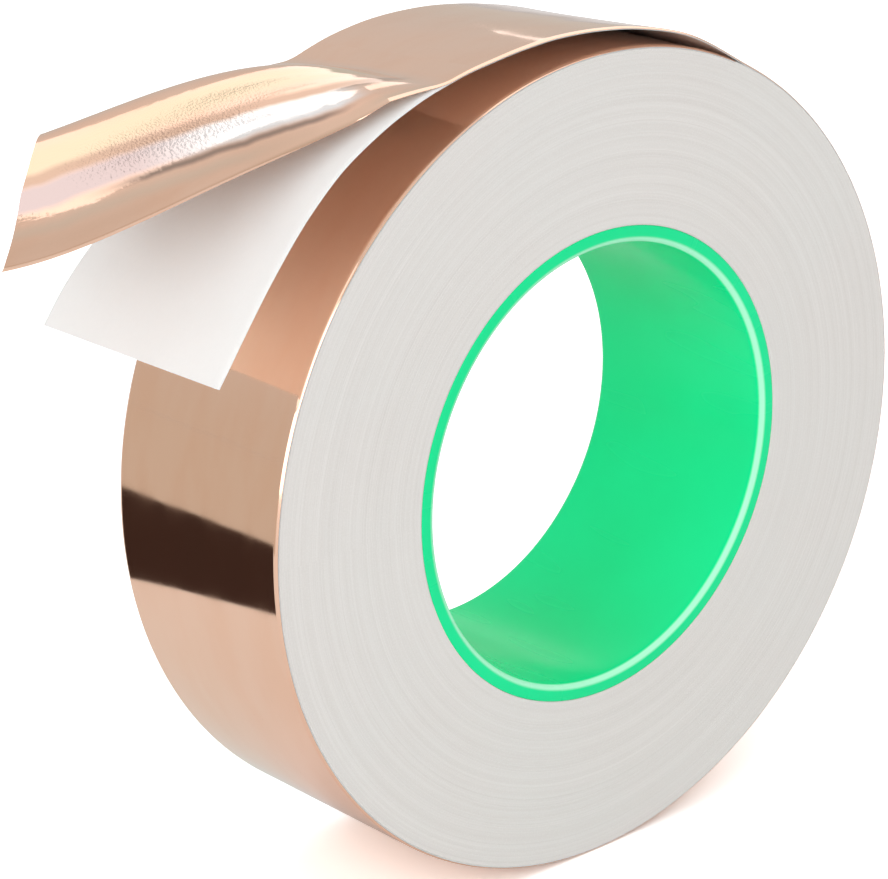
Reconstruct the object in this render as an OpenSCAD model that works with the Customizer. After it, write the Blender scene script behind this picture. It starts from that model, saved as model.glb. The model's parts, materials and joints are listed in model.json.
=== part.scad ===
// Copper foil tape roll.
// A three-layer tape (copper foil, adhesive film, paper release liner) is wound on a
// plastic core. Its free end has sprung off the roll over the top, and the last stretch
// is peeled apart: the foil stands up as an arched flap and the liner hangs below it.
//
// Y lies along the roll's axis, Z points up, and the free end points to -X.
// The origin is the middle of the core's bore. Angles are in degrees, from +X towards +Z.

/* [Core] */
// Diameter of the bore, a 3 inch core
bore_d = 76.2; // [60:0.1:90]
// Wall thickness of the core
core_wall = 3; // [2:0.5:6]
// Rounding of the core's inner lips
lip_r = 1.2; // [0.4:0.1:1.6]
// Rounding of the core's outer edges
core_edge_r = 0.3; // [0.1:0.1:0.4]
// Thickness of the double-sided tape that holds the first turn
start_tape_t = 0.1; // [0.05:0.01:0.15]
// Width of that tape around the core
start_tape_w = 15; // [5:1:30]

/* [Roll] */
// Outer diameter of the full roll
roll_d = 142; // [120:1:160]
// Width of the tape, and of the core
tape_w = 40; // [20:1:60]

/* [Tape layers] */
// Thickness of the copper foil
foil_t = 0.05; // [0.03:0.005:0.1]
// Thickness of the adhesive film
adhesive_t = 0.035; // [0.02:0.005:0.06]
// Thickness of the paper release liner
liner_t = 0.125; // [0.08:0.005:0.16]

/* [Loose end] */
// Where the tape leaves the roll
leave_angle = 66; // [60:1:70]
// Where the sprung stretch bends as it is lifted or pressed down
bend_angle = 80; // [78:1:84]
// Where the foil parts from the liner
peel_angle = 117; // [112:1:120]
// Where the liner ends
liner_end_angle = 158.4; // [150:0.1:162]
// Lift of the loose end off the roll, per degree past the leaving line
lift_rate = 0.054; // [0.04:0.001:0.07]
// Growth of that lift, per degree squared
lift_growth = 0.00154; // [0.001:0.00001:0.002]

/* [Foil flap] */
// Length of the foil flap along X, at the middle of its width
flap_len = 59; // [50:1:62]
// Slant of its cut end: extra length towards the front edge, per mm of width
cut_slant = 0.7; // [0:0.1:0.8]
// Radius of the ridge that runs along the flap
ridge_r = 7; // [5:0.5:9]
// Steepness that the flap's two walls tend to, in degrees
wall_angle = 100; // [70:1:110]
// Length over which they steepen
wall_growth = 71; // [50:1:90]

/* [Hidden] */

bore_r = bore_d / 2;
core_r = bore_r + core_wall;
roll_r = roll_d / 2;
tape_t = foil_t + adhesive_t + liner_t;

// Depth of each face below the copper's outer face
liner_top = foil_t + adhesive_t;

step_angle = 3;                       // facets of the wound and loose strips
joint_gap = 0.3;                      // slit between bodies at a bend
gap_angle = joint_gap / roll_r * 180 / PI;
start_tape_angle = start_tape_w / core_r * 180 / PI;
start_tape_from = 200;                // where the first turn is stuck down
cutter_lap = 0.5;                     // how far a cutter runs past the face it cuts

// The ridge of the foil flap, as a cubic in u = s / ridge_span. It starts just above the
// liner, rises, and then bends down with the set of the roll.
ridge_span = 70;
ridge_rise = 25;
ridge_sag = 58;
ridge_level = 30.5;
ridge_drift = 13;                     // sideways, towards +Y
ridge_return = 7;
flap_lift = 0.32;                     // above the liner's line at the peel line
flap_rows = 26;                       // facets along the flap
flap_cols = 16;                       // facets across it

copper = "#d08a66";
film = "#a5765c";
paper = "#eeece8";
edge_grey = "#cfcdc8";
core_green = "#2fcf7e";

$fn = 128;

// Radius of the tape's copper face at angle a. Before leave_angle it is the last turn of
// the spiral, which climbs by one tape thickness in a turn; past it, the tape lifts off.
function tape_r(a) =
    let (past = a - leave_angle)
    past <= 0 ? roll_r + tape_t * past / 360
              : roll_r + lift_rate * past + lift_growth * past * past;

function on_circle(r, a) = r * [cos(a), sin(a)];

// Angles from a0 to a1 in steps of step_angle, the last one shorter. Strips that start at the
// same angle get the same facets, so their faces meet without overlapping.
function sweep(a0, a1) = concat([for (a = [a0:step_angle:a1 - step_angle / 100]) a], [a1]);

// Side view of the tape's face that lies depth below the copper
function face_line(a0, a1, depth) = [for (a = sweep(a0, a1)) on_circle(tape_r(a) - depth, a)];

function reversed(list) = [for (i = [len(list) - 1:-1:0]) list[i]];

// Turns a side view (X, Z) into a solid as wide as the tape
module across_roll(width = tape_w) {
    rotate([90, 0, 0]) linear_extrude(width, center = true) children();
}

// One layer of the tape between two angles and two depths
module layer(a0, a1, top, bottom) {
    across_roll() polygon(concat(face_line(a0, a1, top), reversed(face_line(a0, a1, bottom))));
}

// What rounding leaves of a square corner at the origin, for a wall that lies towards +X, -Y
module corner_waste(r) {
    difference() {
        translate([-cutter_lap, -r]) square([r + cutter_lap, r + cutter_lap]);
        translate([r, -r]) circle(r);
    }
}

// Half section of the core: radius along X, the roll's axis along Y
module core_section() {
    difference() {
        translate([bore_r, -tape_w / 2]) square([core_wall, tape_w]);
        for (side = [0, 1]) mirror([0, side]) {
            translate([bore_r, tape_w / 2]) corner_waste(lip_r);
            translate([core_r, tape_w / 2]) mirror([1, 0]) corner_waste(core_edge_r);
        }
    }
}

// The starting tape, or its cutter, which laps over the faces that it cuts
module start_tape_shape(lap = 0) {
    rotate([90, -start_tape_from, 0])
        rotate_extrude(angle = start_tape_angle)
            translate([core_r - lap, -tape_w / 2 - lap]) square([start_tape_t + lap, tape_w + 2 * lap]);
}

// Height above the peel line, and sideways place, of the flap's ridge
function ridge_z(s) = let (u = s / ridge_span) ridge_rise * u - ridge_sag * u * u + ridge_level * u * u * u;
function ridge_y(s) = let (u = s / ridge_span) ridge_drift * u - ridge_return * u * u;

// Slope of the flap's walls at distance s from the peel line
function wall_slope(s) = wall_angle * (1 - exp(-s / wall_growth));

// Slope of the flap's surface v across from its ridge
function slope_at(s, v) = min(wall_slope(s), abs(v) / ridge_r * 180 / PI) * sign(v);

// Point of the flap at distance s along and v across, depth below its copper face: an arc
// over the ridge that runs into a straight wall on each side
function flap_point(s, v, depth) =
    let (slope = abs(slope_at(s, v)),
         straight = abs(v) - ridge_r * slope * PI / 180,
         side = ridge_r * sin(slope) + straight * cos(slope) - depth * sin(slope),
         down = ridge_r * (1 - cos(slope)) + straight * sin(slope) + depth * cos(slope),
         peel = on_circle(tape_r(peel_angle), peel_angle))
    [peel[0] - s, ridge_y(s) + sign(v) * side, peel[1] + flap_lift + ridge_z(s) - down];

// Every point of one face of the flap, row by row from the peel line to the cut end
function flap_face(depth) =
    [for (i = [0:flap_rows], j = [0:flap_cols])
        let (v = tape_w * (j / flap_cols - 0.5),
             end = flap_len - cut_slant * v)
        flap_point(joint_gap + (end - joint_gap) * i / flap_rows, v, depth)];

// One layer of the flap, as a closed shell of triangles between two depths
module flap_layer(top, bottom) {
    w = flap_cols + 1;
    n = w * (flap_rows + 1);
    // Around the rim: along row 0, up the last column, back along the last row, down column 0
    rim = concat([for (j = [0:flap_cols - 1]) j],
                 [for (i = [0:flap_rows - 1]) i * w + flap_cols],
                 [for (j = [flap_cols:-1:1]) flap_rows * w + j],
                 [for (i = [flap_rows:-1:1]) i * w]);
    cells = [for (i = [0:flap_rows - 1], j = [0:flap_cols - 1]) i * w + j];
    upper = [for (c = cells) each [[c, c + 1, c + w + 1], [c, c + w + 1, c + w]]];
    lower = [for (c = cells) each [[n + c, n + c + w + 1, n + c + 1], [n + c, n + c + w, n + c + w + 1]]];
    wall = [for (k = [0:len(rim) - 1])
        let (a = rim[k], b = rim[(k + 1) % len(rim)])
        each [[a, n + a, n + b], [a, n + b, b]]];
    polyhedron(concat(flap_face(top), flap_face(bottom)), concat(upper, lower, wall));
}

// Plastic tube that the tape is wound on
module core() {
    color(core_green) rotate([90, 0, 0]) rotate_extrude() core_section();
}

// Strip of double-sided tape that holds the first turn to the core
module core_start_tape() {
    color(paper) start_tape_shape();
}

// Every turn under the last one
module wound_turns() {
    color(edge_grey) difference() {
        across_roll() polygon(face_line(leave_angle - 360, leave_angle, tape_t));
        across_roll(tape_w + 2 * cutter_lap) circle(core_r);
        start_tape_shape(cutter_lap);
    }
}

// The last turn, which runs on past the leaving line to the bend
module outer_turn_liner() {
    color(paper) layer(leave_angle - 360, bend_angle, liner_top, tape_t);
}

module outer_turn_adhesive() {
    color(film) layer(leave_angle - 360, bend_angle, foil_t, liner_top);
}

module outer_turn_foil() {
    color(copper) layer(leave_angle - 360, bend_angle, 0, foil_t);
}

// The sprung stretch between the bend and the peel line
module loose_turn_liner() {
    color(paper) layer(bend_angle + gap_angle, peel_angle, liner_top, tape_t);
}

module loose_turn_adhesive() {
    color(film) layer(bend_angle + gap_angle, peel_angle, foil_t, liner_top);
}

module loose_turn_foil() {
    color(copper) layer(bend_angle + gap_angle, peel_angle, 0, foil_t);
}

// The liner past the peel line
module flap_liner() {
    color(paper) layer(peel_angle + gap_angle, liner_end_angle, liner_top, tape_t);
}

// The foil past the peel line, with its adhesive film underneath
module flap_adhesive() {
    color(film) flap_layer(foil_t, liner_top);
}

module flap_foil() {
    color(copper) flap_layer(0, foil_t);
}

core();
core_start_tape();
wound_turns();
outer_turn_liner();
outer_turn_adhesive();
outer_turn_foil();
loose_turn_liner();
loose_turn_adhesive();
loose_turn_foil();
flap_liner();
flap_adhesive();
flap_foil();
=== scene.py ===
"""Copper foil tape roll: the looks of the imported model. Shapes are worked out in mm, in the CAD's own
frame, and scaled to metres as the meshes are made."""
import json
import math
import bpy
import numpy as np
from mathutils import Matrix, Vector

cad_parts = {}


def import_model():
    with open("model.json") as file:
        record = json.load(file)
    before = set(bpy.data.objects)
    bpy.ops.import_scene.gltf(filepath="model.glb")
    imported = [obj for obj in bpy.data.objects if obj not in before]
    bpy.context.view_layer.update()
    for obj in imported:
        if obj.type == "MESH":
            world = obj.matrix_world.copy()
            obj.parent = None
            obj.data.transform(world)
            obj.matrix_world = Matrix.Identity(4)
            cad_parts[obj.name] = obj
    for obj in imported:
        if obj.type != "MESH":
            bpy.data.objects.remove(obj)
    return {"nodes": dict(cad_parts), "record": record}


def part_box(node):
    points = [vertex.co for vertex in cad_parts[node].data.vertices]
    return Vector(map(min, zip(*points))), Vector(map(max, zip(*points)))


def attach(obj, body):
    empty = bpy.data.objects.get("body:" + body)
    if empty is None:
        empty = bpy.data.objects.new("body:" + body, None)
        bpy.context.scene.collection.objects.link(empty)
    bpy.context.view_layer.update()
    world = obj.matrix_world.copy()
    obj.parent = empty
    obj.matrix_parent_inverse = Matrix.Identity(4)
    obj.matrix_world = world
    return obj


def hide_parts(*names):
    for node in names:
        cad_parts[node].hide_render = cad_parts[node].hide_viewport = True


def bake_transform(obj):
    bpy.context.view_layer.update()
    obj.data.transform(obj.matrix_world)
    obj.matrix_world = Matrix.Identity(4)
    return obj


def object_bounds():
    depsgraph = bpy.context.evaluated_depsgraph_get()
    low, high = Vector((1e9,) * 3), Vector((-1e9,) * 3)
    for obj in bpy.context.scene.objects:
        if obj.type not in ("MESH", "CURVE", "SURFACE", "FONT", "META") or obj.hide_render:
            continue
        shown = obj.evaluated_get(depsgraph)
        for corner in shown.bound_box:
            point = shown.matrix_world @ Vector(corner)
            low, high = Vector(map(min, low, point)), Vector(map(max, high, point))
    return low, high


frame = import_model()
cad_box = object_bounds()
scene = bpy.context.scene
MM = 0.001

# ---------------------------------------------------------------- sizes, in mm and degrees
# The width, the core's radii and the roll's come from the frame. The rest are constants equal to the
# CAD's, so a change to them in part.scad has to be made here too.
FOIL_T, FILM_T, PAPER_T = 0.05, 0.035, 0.125    # layers of the tape
LINER_TOP = FOIL_T + FILM_T                     # depth of the liner's face below the copper's
TAPE = FOIL_T + FILM_T + PAPER_T
HALF = (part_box("core")[1].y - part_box("core")[0].y) / MM / 2
CORE_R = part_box("core")[1].x / MM
BORE_R = next(m["dims"]["r_mm"] for m in frame["record"]["mounts"] if m["name"] == "core_bore")
LIP_R, CORE_EDGE_R = 1.2, 0.3                   # rounding of the core's inner lips and outer edges
LEAVE, PEEL, LINER_END = 66.0, 117.0, 158.4     # degrees from +X towards +Z
LIFT_RATE, LIFT_GROWTH = 0.054, 0.00154
ROLL_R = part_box("outer_turn_foil")[1].x / MM + TAPE * LEAVE / 360
PEEL_R = 77.8                                   # the tape's radius at the peel line
FLAP_LEN, CUT_SLANT = 59.0, 0.7
RIDGE_R, RIDGE_SPAN = 7, 70                     # radius of the flap's ridge, and its curve's unit length
RIDGE_RISE, RIDGE_SAG, RIDGE_LEVEL = 25, 58, 30.5
RIDGE_DRIFT, RIDGE_RETURN = 13, 7
WALL_ANGLE, WALL_GROWTH = 100, 71

# These are the visual model's own
SEAM_IN, SEAM_OUT = 58.0, 112.0                 # where the last turn, the sprung stretch and the flaps join
LIFT_EASE = 1.5                                 # degrees over which the tape's lift sets in
EDGE_DROP, EDGE_WIDTH = 0.28, 0.75              # how the slitting knife turns the edges down
FOLD = 2.2                                      # half length of the rounded fold at the peel line
RIDGE_LEAN = -4.1                               # degrees that the flap leans over one RIDGE_SPAN
CREASE_V, CREASE_W = -11.2, 2.0                 # middle and width of the crease along the flap
FLOOR_Z = cad_box[0].z


def wave(x, lo, hi):
    """0 before lo, 1 after hi, smooth between."""
    t = np.clip((x - lo) / (hi - lo), 0, 1)
    return t * t * (3 - 2 * t)


def ripples(seed, count, short, long, lean=0.0):
    """A smooth random field over (along, across) in mm, with waves from short to long, about 1 high.
    Its crests run in all directions, or with a lean given, along the tape to within about that lean."""
    rng = np.random.default_rng(seed)
    length = np.exp(rng.uniform(math.log(short), math.log(long), count))
    turn = rng.uniform(0, math.pi, count) if lean == 0 else rng.normal(math.pi / 2, lean, count)
    phase = rng.uniform(0, 2 * math.pi, count)
    kx, ky = 2 * math.pi * np.cos(turn) / length, 2 * math.pi * np.sin(turn) / length

    def field(along, across):
        total = np.zeros(np.broadcast(along, across).shape)
        for a, b, p in zip(kx, ky, phase):
            total += np.cos(a * along + b * across + p)
        return total / math.sqrt(count / 2)
    return field


# ---------------------------------------------------------------- shape of the tape
dents = ripples(3, 24, 7, 26)
crinkle = ripples(11, 70, 0.6, 1.5)
flutes = ripples(12, 14, 3.2, 9, lean=0.03)


def slit_edge(v):
    """The knife turns the tape's two edges down a little."""
    return EDGE_DROP * np.clip((np.abs(v) - HALF + EDGE_WIDTH) / EDGE_WIDTH, 0, 1) ** 2


def tape_point(a, v, depth):
    """A point of the tape at angle a and v across, depth below its copper face. It leaves the roll
    smoothly at LEAVE and twists, so the front edge stands prouder than the back one. Past the peel
    line the liner goes on along the same curve, and twists the other way."""
    past = a - LEAVE
    soft = LIFT_EASE * np.logaddexp(0, past / LIFT_EASE)
    lift = LIFT_RATE * soft + LIFT_GROWTH * soft ** 2
    twist = 1.3 * wave(a, 62, 78) + 1.0 * wave(a, 104, 126) - 3.9 * wave(a, 129, 157)
    # near the roll the twist is held under 0.95 of the lift, so that the back edge stays clear of it
    limited = ((np.abs(twist) + 1e-6) ** -4.0 + (0.95 * lift + 1e-6) ** -4.0) ** -0.25
    held = np.where(a < 128, limited, twist)
    r = (ROLL_R + TAPE * np.minimum(past, 0) / 360 + lift
         - held * v / HALF + (twist - held) * ((HALF - v) / (2 * HALF)) ** 2)
    along = a * ROLL_R * math.pi / 180
    wrinkle = 0.0035 * dents(along, v) * (1 + 5 * wave(past, 4, 40))
    r = r + wrinkle - slit_edge(v) - depth
    a = np.radians(a)
    return np.stack([r * np.cos(a), v + 0 * r, r * np.sin(a)], -1)


def centre_point(surface, u):
    """The point at u on the middle of a surface's outer face, in metres."""
    return surface(np.array(u), np.array(0.0), 0.0) * MM


def peel_line(v, depth):
    return tape_point(PEEL + 0 * v, v, depth)


def cut_end(v):
    """Where the flap is cut: on a slant, by hand, so it wavers a little and falls away over the ridge."""
    return FLAP_LEN - CUT_SLANT * v + 1.4 * wave(-v, 2, 11) - 1.9 * wave(v, -4.5, 4.5)


# Places and weights, from 0 to 1, that flap_surface integrates with
GAUSS_X, GAUSS_W = np.polynomial.legendre.leggauss(20)
NODE_X, NODE_W = (GAUSS_X + 1) / 2, GAUSS_W / 2


def flap_slope(s, w, front):
    """Slope of the flap, in radians, w out from its ridge. The back wall is an arc that runs into a
    straight wall. The front one is flatter, and then turns down hard towards its edge."""
    base = WALL_ANGLE * (1 - np.exp(-s / WALL_GROWTH))
    plain = np.minimum(base, w / RIDGE_R * 180 / math.pi)
    top = base * (0.66 * (1 - np.exp(-w / 1.6)) + 0.22 * (w - 6) / 14 * wave(w, 2, 10))
    drop = 64 * wave(s, -4, 34) * wave(s, 2, 16) + 10 * wave(s, 30, 60)
    lip = np.maximum(drop - base * 0.88, 0)
    shaped = top + lip * wave(w, 9.5, 17.5)
    return np.radians(np.where(front, shaped, plain))


def flap_surface(s, v, depth):
    """The peeled foil: an arch that steepens from the peel line to its slanted cut end."""
    u = s / RIDGE_SPAN
    front, side, w = v < 0, np.sign(v), np.abs(v)
    across, down = 0.0, 0.0
    for x, k in zip(NODE_X, NODE_W):
        part = flap_slope(s, w * x, front)
        across = across + k * w * np.cos(part)
        down = down + k * w * np.sin(part)
    slope = flap_slope(s, w, front)
    # flutes along the foil and fine crinkles where it was creased, both square to the surface
    grown = wave(s, 0, 14)
    creased = np.exp(-((v - CREASE_V) / CREASE_W) ** 2) * wave(s, 18, 42)
    bump = (grown * 0.022 * flutes(s, v) + creased * 0.0055 * crinkle(s, v)
            + grown * 0.0012 * crinkle(0.35 * s, 1.3 * v))
    off = depth - bump + slit_edge(v)
    across = side * (across - off * np.sin(slope))
    down = down + off * np.cos(slope)
    lean = np.radians(RIDGE_LEAN) * u
    y = across * np.cos(lean) + down * np.sin(lean) + RIDGE_DRIFT * u - RIDGE_RETURN * u * u
    z = (RIDGE_RISE * u - RIDGE_SAG * u * u + RIDGE_LEVEL * u ** 3
         - (down * np.cos(lean) - across * np.sin(lean)))
    top = tape_point(np.array(PEEL), np.array(0.0), 0.0)
    return np.stack([top[0] - s + 0 * y, y, top[2] + z], -1)


def foil_point(s, v, depth):
    """The foil either side of the peel line, s from it: the tape's face before, the flap after, and a
    small rounded fold between them."""
    s, v = np.broadcast_arrays(np.asarray(s, float), np.asarray(v, float))

    def before(x):
        return tape_point(PEEL + np.minimum(x, 0) / PEEL_R * 180 / math.pi, v, depth)

    def after(x):
        x = np.maximum(x, 0)
        fade = np.exp(-x / 15)[..., None]
        return flap_surface(x, v, depth) + (peel_line(v, depth) - flap_surface(0 * x, v, depth)) * fade

    t = np.clip((s + FOLD) / (2 * FOLD), 0, 1)[..., None]
    arc = ((1 - t) ** 2 * before(0 * s - FOLD) + 2 * t * (1 - t) * peel_line(v, depth)
           + t * t * after(0 * s + FOLD))
    return np.where((s < -FOLD)[..., None], before(s), np.where((s > FOLD)[..., None], after(s), arc))


# ---------------------------------------------------------------- meshes
def add_object(name, mesh, materials):
    for material in materials:
        mesh.materials.append(material)
    ob = bpy.data.objects.new(name, mesh)
    scene.collection.objects.link(ob)
    return ob


def sheet_mesh(name, surface, u_of, rows, cols, top, bottom, faces, rim):
    """A closed thin shell between depths top and bottom of a surface. u_of(t, v) gives u in mm or
    degrees at t from 0 to 1. faces are the materials of the outer and inner face, rim that of the edge.
    Normals come from the surface itself, so that neighbouring sheets shade as one."""
    t = np.linspace(0, 1, rows + 1)[:, None]
    # columns are closer together at the two turned-down edges
    lip = np.array([0, 0.2, 0.4, 0.58])
    inner = np.linspace(-HALF + EDGE_WIDTH, HALF - EDGE_WIDTH, cols + 1 - 2 * len(lip))
    v = np.concatenate([-HALF + lip, inner, HALF - lip[::-1]])[None, :]
    v = v + 0 * t
    u = u_of(t + 0 * v, v)
    n = (rows + 1) * (cols + 1)
    reach = 0.02                                # either side of a point, for its normal
    points, normals = [], []
    for depth in (top, bottom):
        points.append(surface(u, v, depth))
        du = surface(u + reach, v, depth) - surface(u - reach, v, depth)
        dv = (surface(u, np.minimum(v + reach, HALF), depth)
              - surface(u, np.maximum(v - reach, -HALF), depth))
        normal = np.cross(dv, du)
        normals.append(normal / np.linalg.norm(normal, axis=-1, keepdims=True))
    points = np.concatenate([p.reshape(-1, 3) for p in points]) * MM
    normals = np.concatenate([normals[0].reshape(-1, 3), -normals[1].reshape(-1, 3)])
    i, j = np.meshgrid(np.arange(rows), np.arange(cols), indexing="ij")
    c = (i * (cols + 1) + j).ravel()
    upper = np.stack([c, c + 1, c + cols + 2, c + cols + 1], 1)
    lower = np.stack([c, c + cols + 1, c + cols + 2, c + 1], 1) + n
    ring = np.concatenate([np.arange(cols), np.arange(rows) * (cols + 1) + cols,
                           rows * (cols + 1) + np.arange(cols, 0, -1),
                           np.arange(rows, 0, -1) * (cols + 1)])
    following = np.roll(ring, -1)
    wall = np.stack([ring, ring + n, following + n, following], 1)
    quads = np.concatenate([upper, lower, wall])
    me = bpy.data.meshes.new(name)
    me.vertices.add(len(points))
    me.vertices.foreach_set("co", points.ravel())
    me.loops.add(quads.size)
    me.loops.foreach_set("vertex_index", quads.ravel())
    me.polygons.add(len(quads))
    me.polygons.foreach_set("loop_start", np.arange(len(quads)) * 4)
    me.polygons.foreach_set("material_index", np.repeat([0, 1, 2], [len(upper), len(lower), len(wall)]))
    me.update(calc_edges=True)
    # the map holds u and v over 100
    flat = np.stack([np.tile(u.ravel(), 2), np.tile(v.ravel(), 2)], 1) / 100
    uv = me.uv_layers.new(name="along_across")
    uv.data.foreach_set("uv", flat[quads.ravel()].ravel())
    # the rim keeps its own flat normals
    a, b, d = points[wall[:, 0]], points[wall[:, 1]], points[wall[:, 3]]
    w = np.cross(b - a, d - a)
    w /= np.maximum(np.linalg.norm(w, axis=1, keepdims=True), 1e-12)
    loop_n = np.concatenate([normals[upper.ravel()], normals[lower.ravel()], np.repeat(w, 4, axis=0)])
    me.polygons.foreach_set("use_smooth", np.ones(len(quads), bool))
    me.normals_split_custom_set(loop_n.tolist())
    return add_object(name, me, (*faces, rim))


def ring_mesh(name, sections, material):
    """A closed ring through the sections, an array of (section, point, xyz) in mm."""
    steps, m = sections.shape[:2]
    k, j = np.meshgrid(np.arange(steps), np.arange(m), indexing="ij")
    kn, jn = (k + 1) % steps, (j + 1) % m
    quads = np.stack([k * m + j, kn * m + j, kn * m + jn, k * m + jn], -1).reshape(-1, 4)
    me = bpy.data.meshes.new(name)
    me.from_pydata((sections.reshape(-1, 3) * MM).tolist(), [], quads.tolist())
    me.polygons.foreach_set("use_smooth", np.ones(len(quads), bool))
    me.update()
    return add_object(name, me, [material])


def lathe(name, profile, steps, material):
    """Revolves a closed profile of (radius, y) rows in mm about the roll's axis."""
    ang = np.linspace(0, 2 * math.pi, steps, endpoint=False)[:, None]
    r, y = np.array(profile, float).T[:, None, :]
    return ring_mesh(name, np.stack([r * np.cos(ang), y + 0 * ang, r * np.sin(ang)], -1), material)


# ---------------------------------------------------------------- materials
class Nodes:
    """A short way to write a material's node tree."""

    def __init__(self, name):
        self.mat = bpy.data.materials.new(name)
        self.mat.use_nodes = True
        self.tree = self.mat.node_tree
        self.tree.nodes.clear()
        self.out = self.tree.nodes.new("ShaderNodeOutputMaterial")
        self.shader = self.tree.nodes.new("ShaderNodeBsdfPrincipled")
        self.link(self.shader.outputs[0], self.out.inputs["Surface"])

    def link(self, a, b):
        self.tree.links.new(a, b)

    def put(self, socket, value):
        if isinstance(value, bpy.types.NodeSocket):
            self.link(value, socket)
        elif value is not None:
            socket.default_value = value

    def set(self, **values):
        for key, value in values.items():
            self.put(self.shader.inputs[key.replace("_", " ")], value)

    def math(self, op, a, b=None):
        n = self.tree.nodes.new("ShaderNodeMath")
        n.operation = op
        for s, x in zip(n.inputs, (a, b)):
            self.put(s, x)
        return n.outputs[0]

    def times(self, a, b):
        return self.math("MULTIPLY", a, b)

    def ramp(self, value, lo, hi, a=0.0, b=1.0):
        """a up to lo, b from hi on, smooth between."""
        n = self.tree.nodes.new("ShaderNodeMapRange")
        n.interpolation_type = "SMOOTHSTEP"
        for s, x in zip(n.inputs, (value, lo, hi, a, b)):
            self.put(s, x)
        return n.outputs[0]

    def mix(self, f, a, b):
        n = self.tree.nodes.new("ShaderNodeMix")
        n.data_type = "RGBA"
        self.put(n.inputs[0], f)
        for s, x in ((n.inputs[6], a), (n.inputs[7], b)):
            self.put(s, (*x, 1) if isinstance(x, tuple) and len(x) == 3 else x)
        return n.outputs[2]

    def vector(self, x, y, z=0.0):
        n = self.tree.nodes.new("ShaderNodeCombineXYZ")
        for s, v in zip(n.inputs, (x, y, z)):
            self.put(s, v)
        return n.outputs[0]

    def noise(self, vector, scale, detail, rough):
        n = self.tree.nodes.new("ShaderNodeTexNoise")
        self.put(n.inputs["Vector"], vector)
        n.inputs["Scale"].default_value = scale
        n.inputs["Detail"].default_value = detail
        n.inputs["Roughness"].default_value = rough
        return n.outputs["Fac"]

    def streaks(self, x, y, along, across, detail, rough):
        """Noise over (x, y), that many times finer along and across."""
        return self.noise(self.vector(self.times(x, along), self.times(y, across)), 1, detail, rough)

    def radius(self, x, z):
        return self.math("SQRT", self.math("ADD", self.times(x, x), self.times(z, z)))

    def split(self, vector):
        n = self.tree.nodes.new("ShaderNodeSeparateXYZ")
        self.put(n.inputs[0], vector)
        return n.outputs

    def uv(self):
        n = self.tree.nodes.new("ShaderNodeUVMap")
        n.uv_map = "along_across"
        return n.outputs[0]

    def place(self):
        return self.tree.nodes.new("ShaderNodeTexCoord").outputs["Object"]

    def bump(self, height, distance, strength):
        n = self.tree.nodes.new("ShaderNodeBump")
        self.put(n.inputs["Height"], height)
        n.inputs["Distance"].default_value = distance
        n.inputs["Strength"].default_value = strength
        return n.outputs[0]


def painted_reflection_bands(n, tone, along, across, lines):
    """Painted reflections on the flap, in long bands: a painted straw highlight below the ridge, then
    peach, a painted white glare that fades to lilac towards the cut, a painted dark reflection along the
    crease under it, and peach below that."""
    out = n.times(across, -100)                 # mm towards the front edge
    far = n.times(along, 100)                   # mm past the peel line
    peeled = n.ramp(far, -0.5, 3)
    waver = n.noise(n.vector(n.times(along, 9), 0.0), 1, 3, 0.6)
    waver = n.times(n.math("SUBTRACT", waver, 0.5), 1.6)
    from_crease = n.math("SUBTRACT", out, n.math("ADD", n.ramp(far, 12, 60, 16.8, 13.2), waver))

    def band(value, centre, width, core=0.0):
        away = n.math("ABSOLUTE", n.math("SUBTRACT", value, centre))
        return n.times(peeled, n.ramp(away, width, core))

    streaked = n.ramp(lines, 0.25, 0.75, 0.7, 1.0)
    # painted straw highlight, streaked by the rolling lines, then a painted peach band
    tone = n.mix(n.times(band(out, 5.0, 3.6, 1.0), streaked), tone, (0.800, 0.630, 0.430))
    tone = n.mix(n.times(band(from_crease, -5.4, 1.8, 0.4), 0.85), tone, (0.56, 0.37, 0.27))
    # painted white glare, fading to lilac towards the cut
    painted_glare = n.times(band(from_crease, -2.5, 2.7, 1.3), n.ramp(far, 8, 16))
    painted_glare_tone = n.mix(n.ramp(far, 30, 50), (0.97, 0.93, 0.90), (0.64, 0.50, 0.475))
    tone = n.mix(painted_glare, tone, painted_glare_tone)
    # painted dark reflection along the crease, then lighter painted bands below it
    dark = n.times(band(from_crease, 0.2, 0.9), n.times(n.ramp(far, 12, 20), n.ramp(far, 60, 46)))
    tone = n.mix(n.times(dark, 0.9), tone, (0.36, 0.26, 0.21))
    tone = n.mix(n.times(band(from_crease, 2.2, 1.5), 0.6), tone, (0.80, 0.62, 0.48))
    below = n.times(n.ramp(from_crease, 0.6, 1.6), n.times(n.ramp(far, 8, 14), n.ramp(far, 36, 26)))
    return n.mix(n.times(below, 0.8), tone, (0.90, 0.60, 0.44))


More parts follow.
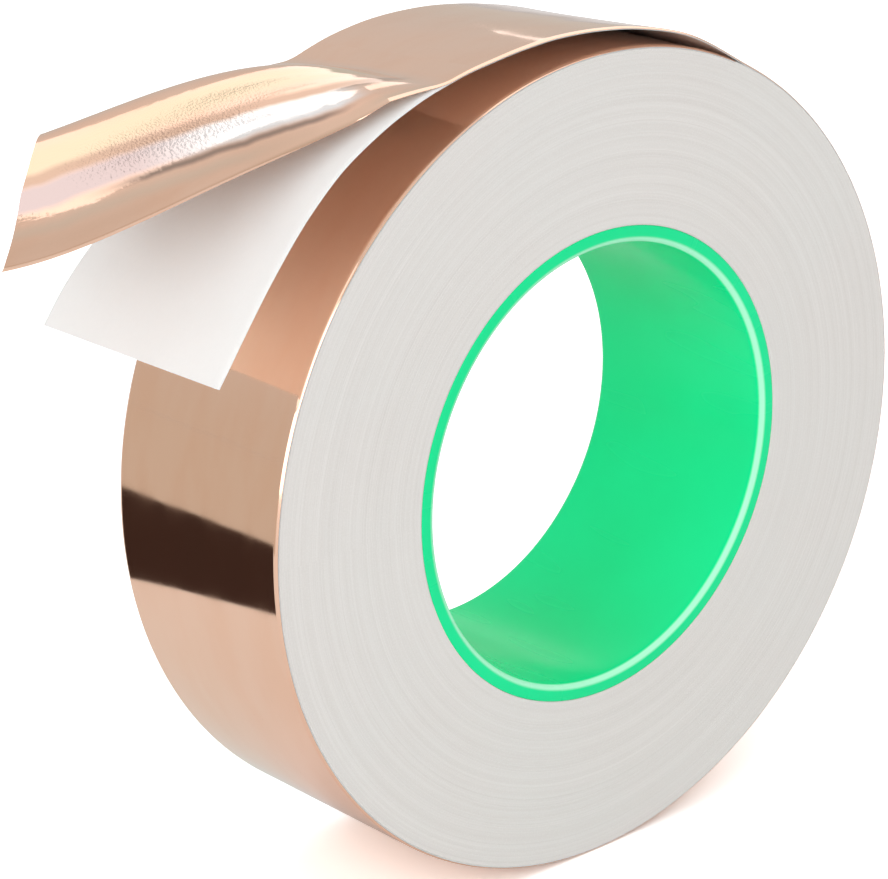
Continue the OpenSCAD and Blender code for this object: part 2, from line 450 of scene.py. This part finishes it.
def copper(name, crinkled):
    """Bright rolled foil: rolling lines run along it, and handling leaves faint dull patches."""
    n = Nodes(name)
    along, across, _ = n.split(n.uv())
    lines = n.streaks(along, across, 6, 420, 3, 0.6)
    cloud = n.streaks(along, across, 7, 16, 4, 0.55)
    tone = n.mix(n.ramp(cloud, 0.35, 0.7), (0.955, 0.640, 0.480), (0.945, 0.610, 0.445))
    if crinkled:
        # on the flap the copper gets painted highlights and painted dark reflections in long bands
        tone = painted_reflection_bands(n, tone, along, across, lines)
        grain = n.streaks(along, across, 260, 260, 2, 0.5)
        creased = n.times(n.ramp(n.math("ABSOLUTE", n.math("ADD", across, 0.085)), 0.065, 0.0),
                          n.ramp(along, 0.08, 0.34))
        height = n.math("ADD", n.times(lines, 0.35), n.times(grain, n.times(creased, 5.0)))
        normal = n.bump(height, 0.000012, 0.8)
    else:
        normal = n.bump(lines, 0.000004, 0.6)
    dull, lined = n.ramp(cloud, 0.3, 0.75, 0.045, 0.085), n.ramp(lines, 0.3, 0.7, 0.0, 0.03)
    n.set(Base_Color=tone, Metallic=1.0, Roughness=n.math("ADD", dull, lined), Normal=normal)
    return n.mat


def film():
    """Clear adhesive film over the foil's dull inner side."""
    n = Nodes("adhesive_film")
    along, across, _ = n.split(n.uv())
    drag = n.streaks(along, across, 25, 150, 4, 0.6)
    bead = n.streaks(along, across, 180, 180, 3, 0.6)
    tone = n.mix(n.ramp(drag, 0.3, 0.7), (0.62, 0.36, 0.25), (0.74, 0.46, 0.33))
    n.set(Base_Color=tone, Metallic=0.75, Roughness=n.ramp(bead, 0.3, 0.7, 0.34, 0.52),
          Normal=n.bump(bead, 0.00003, 0.5), Coat_Weight=0.6, Coat_Roughness=0.25)
    return n.mat


def paper(name, tint, glow, share):
    """Smooth coated release paper, with a soft fibre cloud. A share of its light comes through it."""
    n = Nodes(name)
    along, across, _ = n.split(n.uv())
    where = n.vector(along, across)
    fibre = n.noise(where, 160, 4, 0.65)
    cloud = n.noise(where, 14, 3, 0.5)
    light = n.mix(n.ramp(cloud, 0.3, 0.7), tint, tuple(c * 0.975 for c in tint))
    n.set(Base_Color=n.mix(n.ramp(fibre, 0.3, 0.75), light, tuple(c * 0.96 for c in tint)),
          Roughness=n.ramp(fibre, 0.3, 0.7, 0.42, 0.55), Normal=n.bump(fibre, 0.00002, 0.5),
          Specular_IOR_Level=0.4)
    through = n.tree.nodes.new("ShaderNodeBsdfTranslucent")
    both = n.tree.nodes.new("ShaderNodeMixShader")
    through.inputs["Color"].default_value = (*glow, 1)
    both.inputs[0].default_value = share
    n.link(n.shader.outputs[0], both.inputs[1])
    n.link(through.outputs[0], both.inputs[2])
    n.link(both.outputs[0], n.out.inputs["Surface"])
    return n.mat


def pack_side():
    """The slit edges of the wound turns. They follow the spiral: one turn outward for each turn round."""
    n = Nodes("wound_edges")
    x, y, z = (n.times(c, 1000) for c in n.split(n.place()))    # in mm
    r = n.radius(x, z)
    turn = n.times(n.math("ARCTAN2", z, x), 1 / (2 * math.pi))
    turns = n.math("SUBTRACT", n.math("DIVIDE", r, TAPE), turn)
    part = n.math("FRACT", turns)
    layer = n.tree.nodes.new("ShaderNodeTexWhiteNoise")
    layer.noise_dimensions = "1D"
    n.put(layer.inputs["W"], n.math("FLOOR", turns))
    own = layer.outputs["Value"]                # one random value for each turn
    bands = n.streaks(r, turn, 0.9, 3, 4, 0.65)
    wide = n.noise(n.vector(n.times(x, 0.035), n.times(z, 0.035), y), 1, 3, 0.5)
    grain = n.noise(n.vector(x, y, z), 3.2, 4, 0.7)
    edge = n.times(n.ramp(part, 0.72, 0.80), n.ramp(part, 1.0, 0.94))
    tone = n.mix(n.ramp(bands, 0.3, 0.72), (0.728, 0.712, 0.695), (0.683, 0.667, 0.650))
    tone = n.mix(n.times(n.ramp(wide, 0.35, 0.65), 0.5), tone, (0.70, 0.705, 0.690))
    tone = n.mix(n.times(own, 0.30), tone, (0.60, 0.575, 0.55))
    tone = n.mix(n.times(n.ramp(grain, 0.42, 0.75), 0.35), tone, (0.83, 0.82, 0.80))
    tone = n.mix(n.times(edge, 0.28), tone, (0.66, 0.50, 0.42))
    height = n.math("ADD", own, n.times(grain, 1.6))
    n.set(Base_Color=tone, Roughness=n.ramp(grain, 0.3, 0.7, 0.55, 0.75),
          Normal=n.bump(height, 0.00003, 0.6), Specular_IOR_Level=0.3)
    return n.mat


def green_plastic():
    """Glossy tube, its gloss faintly streaked, with a painted highlight: a pale line along the top of each
    rounded lip's curve.
    """
    n = Nodes("green_plastic")
    x, y, z = n.split(n.place())
    draw = n.streaks(n.math("ARCTAN2", z, x), y, 6, 30, 1, 0.5)
    orange_peel = n.noise(n.vector(x, y, z), 420, 2, 0.5)
    wide = n.noise(n.vector(x, y, z), 22, 3, 0.5)
    tone = n.mix(n.ramp(wide, 0.3, 0.7), (0.002, 0.730, 0.275), (0.003, 0.790, 0.315))
    r = n.radius(x, z)
    # painted highlight: the base colour is lightened along each rounded inner lip
    painted_lip_highlight = n.times(n.ramp(r, (BORE_R + 0.02) * MM, (BORE_R + 0.25) * MM),
                    n.ramp(r, (BORE_R + 1.25) * MM, (BORE_R + 0.65) * MM))
    painted_lip_highlight = n.times(painted_lip_highlight, n.ramp(n.math("ABSOLUTE", y), (HALF - 1.5) * MM, (HALF - 0.6) * MM))
    n.set(Base_Color=n.mix(n.times(painted_lip_highlight, 0.85), tone, (0.50, 0.95, 0.70)),
          Roughness=n.ramp(draw, 0.3, 0.7, 0.20, 0.28), Normal=n.bump(orange_peel, 0.000004, 0.3),
          IOR=1.45, Specular_IOR_Level=0.28)
    return n.mat


def start_tape_paper():
    n = Nodes("start_tape")
    grain = n.noise(n.place(), 900, 3, 0.6)
    n.set(Base_Color=n.mix(grain, (0.78, 0.76, 0.72), (0.70, 0.68, 0.64)),
          Roughness=n.ramp(grain, 0.3, 0.7, 0.5, 0.7))
    return n.mat


COPPER = copper("copper_wound", False)
COPPER_FLAP = copper("copper_flap", True)
FILM = film()
LINER = paper("liner_paper", (0.895, 0.935, 0.965), (0.94, 0.97, 0.98), 0.58)
LINER_BACK = paper("liner_paper_back", (0.96, 0.90, 0.85), (0.98, 0.91, 0.84), 0.45)
LINER_HELD = paper("liner_paper_on_tape", (0.96, 0.90, 0.85), (0.98, 0.91, 0.84), 0.08)
SIDE = pack_side()
GREEN = green_plastic()
START = start_tape_paper()

# ---------------------------------------------------------------- pieces
# Each layer: name, top and bottom depth, materials of its two faces and of its rim, and slot
LAYERS = (("foil", 0.0, FOIL_T, (COPPER, COPPER), COPPER, "copper_foil"),
          ("adhesive", FOIL_T, LINER_TOP, (FILM, FILM), FILM, "adhesive_film"),
          ("liner", LINER_TOP, TAPE, (LINER, LINER_HELD), LINER, "liner_paper"))
FLAP_LAYERS = (("foil", 0.0, FOIL_T, (COPPER_FLAP, COPPER), COPPER, "copper_foil"), LAYERS[1])


def span(lo, hi):
    return lambda t, v: lo + (hi - lo) * t


for layer, top, bottom, faces, rim, slot in LAYERS:
    turn = sheet_mesh(f"last_turn_{layer}", tape_point, span(LEAVE - 360, SEAM_IN), 470, 56,
                      top, bottom, faces, rim)
    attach(turn, "roll")
    loose = sheet_mesh(f"sprung_{layer}", tape_point, span(SEAM_IN, SEAM_OUT), 108, 72,
                       top, bottom, faces, rim)
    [centre_point(tape_point, a) for a in (74.0, 87.0)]
    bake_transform(loose)
    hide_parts(f"outer_turn_{layer}")
    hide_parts(f"loose_turn_{layer}")

# Foil and its adhesive past the seam: over the peel line and out to the slanted cut
BACK = -(PEEL - SEAM_OUT) * math.pi / 180 * PEEL_R


def flap_u(t, v):
    return BACK + (cut_end(v) - BACK) * t


flap_bend = [centre_point(foil_point, s) for s in (-1.5, 6.0)]
for layer, top, bottom, faces, rim, slot in FLAP_LAYERS:
    flap = sheet_mesh(f"flap_{layer}_sheet", foil_point, flap_u, 230, 130, top, bottom, faces, rim)
    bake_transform(flap)
    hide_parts(f"flap_{layer}")

liner = sheet_mesh("flap_liner_sheet", tape_point, span(SEAM_OUT, LINER_END), 120, 72,
                   LINER_TOP, TAPE, (LINER, LINER_BACK), LINER)
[centre_point(tape_point, a) for a in (115.5, 121.0)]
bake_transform(liner)
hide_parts("flap_liner")

# Turns under the last one: every turn's edge stands a little in or out of its neighbours'
TURNS = int(round((ROLL_R - TAPE - CORE_R) / TAPE))
rng = np.random.default_rng(21)
step = rng.normal(0, 0.007, TURNS + 1)
drift = np.convolve(rng.normal(0, 1, TURNS + 41), np.hanning(15) / 15, "same")[20:TURNS + 21] * 0.022


def pack_mesh():
    """The wound turns as one closed ring. Its outside climbs by one tape thickness in a turn, and drops
    back in a sliver of a step where the last turn begins."""
    ang = np.append(np.linspace(0, 2 * math.pi, 300, endpoint=False), 2 * math.pi - 0.001)
    deg = LEAVE - 360 + ang * 180 / math.pi
    outer = ROLL_R - TAPE + TAPE * (deg - LEAVE) / 360
    frac = np.linspace(0, 1, TURNS + 1)
    r = CORE_R + (outer - CORE_R)[:, None] * frac[None, :]
    sway = 0.35 * np.cos(ang[:, None] * 2 + frac[None, :] * 9) + 0.65
    proud, sunk = 0.02, -0.06                   # how far an edge may stand out or in
    front = -HALF + proud - np.clip(step[None, :] + drift[None, :] * sway, sunk, proud)
    back = HALF - proud + np.clip(step[None, ::-1] + drift[None, ::-1] * sway, sunk, proud)
    rad = np.radians(deg)[:, None]
    # under the last turn's turned-down edges the corners are eased too
    ease_in, ease_down = 0.8, 0.24
    r = np.concatenate([r, outer[:, None]], 1)
    r[:, -2] -= ease_down
    front = np.concatenate([front, np.full((len(ang), 1), ease_in - HALF)], 1)
    back = np.concatenate([back, np.full((len(ang), 1), HALF - ease_in)], 1)
    f = np.stack([r * np.cos(rad), front, r * np.sin(rad)], -1)
    b = np.stack([r * np.cos(rad), back, r * np.sin(rad)], -1)
    return ring_mesh("wound_pack", np.concatenate([f, b[:, ::-1]], 1), SIDE)


pack = pack_mesh()
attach(pack, "roll")
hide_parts("wound_turns")


def corner(radius, y, size, start, steps):
    """Quarter arc about (radius, y), from start degrees on."""
    turn = [math.radians(start + 90 * k / steps) for k in range(steps + 1)]
    return [(radius + size * math.cos(t), y + size * math.sin(t)) for t in turn]


def core_profile():
    """Half section of the tube, round its inner lips and barely round its outer edges."""
    lip_r, edge_r = BORE_R + LIP_R, CORE_R - CORE_EDGE_R
    return (corner(lip_r, -HALF + LIP_R, LIP_R, 180, 12)
            + corner(edge_r, -HALF + CORE_EDGE_R, CORE_EDGE_R, 270, 6)
            + [(CORE_R, y) for y in np.linspace(-HALF + 4, HALF - 4, 9)]
            + corner(edge_r, HALF - CORE_EDGE_R, CORE_EDGE_R, 0, 6)
            + corner(lip_r, HALF - LIP_R, LIP_R, 90, 12)
            + [(BORE_R, y) for y in np.linspace(HALF - 3, -HALF + 3, 15)])


core = lathe("core_tube", core_profile(), 240, GREEN)
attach(core, "roll")
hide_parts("core")

for s in frame["nodes"]["core_start_tape"].material_slots:
    s.material = START


# ---------------------------------------------------------------- floor, light and camera, in metres
def toward(azimuth, elevation):
    """Unit direction from the roll: azimuth from +X towards +Y, in degrees."""
    a, e = math.radians(azimuth), math.radians(elevation)
    return Vector((math.cos(a) * math.cos(e), math.sin(a) * math.cos(e), math.sin(e)))


FLAP_AT = Vector((-0.070, -0.005, 0.075))       # middle of the foil flap


def bare_tree(block):
    """The block's node tree, emptied."""
    block.use_nodes = True
    block.node_tree.nodes.clear()
    return block.node_tree


def card(name, points, faces, strength, colour=(1, 1, 1), lights=True):
    """A card of light, or a dark one. The camera never sees it, and unless it lights, only gloss does."""
    me = bpy.data.meshes.new(name)
    me.from_pydata([tuple(c) for c in points], [], faces)
    mat = bpy.data.materials.new(name)
    t = bare_tree(mat)
    out, em = t.nodes.new("ShaderNodeOutputMaterial"), t.nodes.new("ShaderNodeEmission")
    em.inputs["Color"].default_value = (*colour, 1)
    em.inputs["Strength"].default_value = strength
    t.links.new(em.outputs[0], out.inputs["Surface"])
    ob = add_object(name, me, [mat])
    ob.visible_camera = False
    ob.visible_shadow = False
    ob.visible_diffuse = lights


def ribbon(name, low, high, distance, strength):
    """A curved card between two rows of (azimuth, elevation) directions, as the foil flap sees them."""
    points = [FLAP_AT + toward(*d) * distance for d in low + high]
    n = len(low)
    card(name, points, [(i, i + 1, n + i + 1, n + i) for i in range(n - 1)], strength)


def softbox(name, azimuth, elevation, distance, width, height, strength):
    """A square-on flat card in that direction from the roll."""
    out = toward(azimuth, elevation)
    right = out.cross(Vector((0, 0, 1))).normalized()
    up = right.cross(out)
    corners = [out * distance + right * (width / 2) * i + up * (height / 2) * j
               for i, j in ((-1, -1), (1, -1), (1, 1), (-1, 1))]
    card(name, corners, [(0, 1, 2, 3)], strength)


def floor_card(name, above, corners, strength, colour):
    """A card lying just above the floor, seen by gloss alone."""
    points = [(x, y, FLOOR_Z + above) for x, y in corners]
    card(name, points, [(0, 1, 2, 3)], strength, colour, lights=False)


# The large light to the right runs from just above the horizon to nearly overhead, and stops short
# of the far side, so that the flap's ridge and its lower edge stay darker than its face
KEY_LOW = [(48, 12), (36, 14), (22, 14), (8, 14), (-4, 16), (-16, 22), (-26, 32), (-34, 44)]
KEY_HIGH = [(48, 66), (38, 71), (5, 76), (-45, 77), (-68, 69), (-73, 61), (-73, 53), (-69, 43)]
ribbon("key_light", KEY_LOW, KEY_HIGH, 2.00, 1.38)
softbox("front_light", -140, 23, 1.35, 1.2, 0.75, 3.3)
softbox("left_light", 172, 34, 1.4, 1.1, 0.9, 1.45)
softbox("low_light", -168, 6, 1.3, 1.3, 0.45, 2.6)

# A dark card on the floor behind and to the left, for the band across the copper, and a grey one
# from there to the horizon, so that the copper above the band stays tan
floor_card("far_card", 0.0003, ((-0.143, 0.363), (-0.303, 0.011), (-3.6, 0.3), (-1.9, 3.4)),
           0.60, (1.0, 0.972, 0.892))
floor_card("dark_card", 0.0006, ((-0.148, 0.056), (-0.093, 0.115), (-0.203, 0.231), (-0.243, 0.143)),
           0.045, (1.0, 0.62, 0.52))


def floor():
    """A round floor in rings. Its colour is lighter for the camera's own rays than for light that
    bounces off it, so that it shows white without flooding the object."""
    me = bpy.data.meshes.new("studio_floor")
    steps = 96
    pts = [(0, 0, FLOOR_Z)]
    faces = []
    for k, r in enumerate((0.05, 0.1, 0.2, 0.4, 0.8, 1.6, 4.0)):
        for i in range(steps):
            t = 2 * math.pi * i / steps
            pts.append((r * math.cos(t), r * math.sin(t), FLOOR_Z))
        base = 1 + k * steps
        for i in range(steps):
            j = (i + 1) % steps
            if k == 0:
                faces.append((0, base + i, base + j))
            else:
                faces.append((base - steps + i, base + i, base + j, base - steps + j))
    me.from_pydata(pts, [], faces)
    mat = bpy.data.materials.new("pale_floor")
    t = bare_tree(mat)
    out = t.nodes.new("ShaderNodeOutputMaterial")
    diffuse = t.nodes.new("ShaderNodeBsdfDiffuse")
    path = t.nodes.new("ShaderNodeLightPath")
    tone = t.nodes.new("ShaderNodeMix")
    tone.data_type = "RGBA"
    tone.inputs[6].default_value = (0.72, 0.72, 0.72, 1)
    tone.inputs[7].default_value = (1.42, 1.42, 1.42, 1)
    t.links.new(path.outputs["Is Camera Ray"], tone.inputs[0])
    t.links.new(tone.outputs[2], diffuse.inputs["Color"])
    t.links.new(diffuse.outputs[0], out.inputs["Surface"])
    add_object("studio_floor", me, [mat])


def studio_world():
    """White to the camera. What it lights with is a soft grey, warmer low down and lighter overhead."""
    world = bpy.data.worlds.new("studio")
    scene.world = world
    t = bare_tree(world)
    out = t.nodes.new("ShaderNodeOutputWorld")
    seen, lit = t.nodes.new("ShaderNodeBackground"), t.nodes.new("ShaderNodeBackground")
    seen.inputs["Color"].default_value = (1, 1, 1, 1)
    seen.inputs["Strength"].default_value = 1.02
    coord = t.nodes.new("ShaderNodeTexCoord")
    parts = t.nodes.new("ShaderNodeSeparateXYZ")
    t.links.new(coord.outputs["Generated"], parts.inputs[0])
    ramp = t.nodes.new("ShaderNodeValToRGB")
    ramp.color_ramp.interpolation = "B_SPLINE"
    level, overhead = ramp.color_ramp.elements
    level.position, level.color = 0.0, (0.600, 0.583, 0.535, 1)
    overhead.position, overhead.color = 0.9, (0.80, 0.80, 0.81, 1)
    ramp.color_ramp.elements.new(0.25).color = (0.605, 0.596, 0.575, 1)
    t.links.new(parts.outputs[2], ramp.inputs[0])
    t.links.new(ramp.outputs[0], lit.inputs["Color"])
    lit.inputs["Strength"].default_value = 1.0
    path, mix = t.nodes.new("ShaderNodeLightPath"), t.nodes.new("ShaderNodeMixShader")
    t.links.new(path.outputs["Is Camera Ray"], mix.inputs[0])
    t.links.new(lit.outputs[0], mix.inputs[1])
    t.links.new(seen.outputs[0], mix.inputs[2])
    t.links.new(mix.outputs[0], out.inputs["Surface"])


floor()
studio_world()

cam_data = bpy.data.cameras.new("camera")
cam_data.lens, cam_data.sensor_width = 131.1, 36.0
cam_data.clip_start, cam_data.clip_end = 0.01, 50
cam = bpy.data.objects.new("camera", cam_data)
scene.collection.objects.link(cam)
scene.camera = cam
toward_camera = Vector((-0.6303, -0.6988, 0.3382)).normalized()
cam.location = (-0.35888, -0.37763, 0.18663)
cam.rotation_mode = "QUATERNION"
cam.rotation_quaternion = (-toward_camera).to_track_quat("-Z", "Y")
scene.view_settings.view_transform = "Standard"
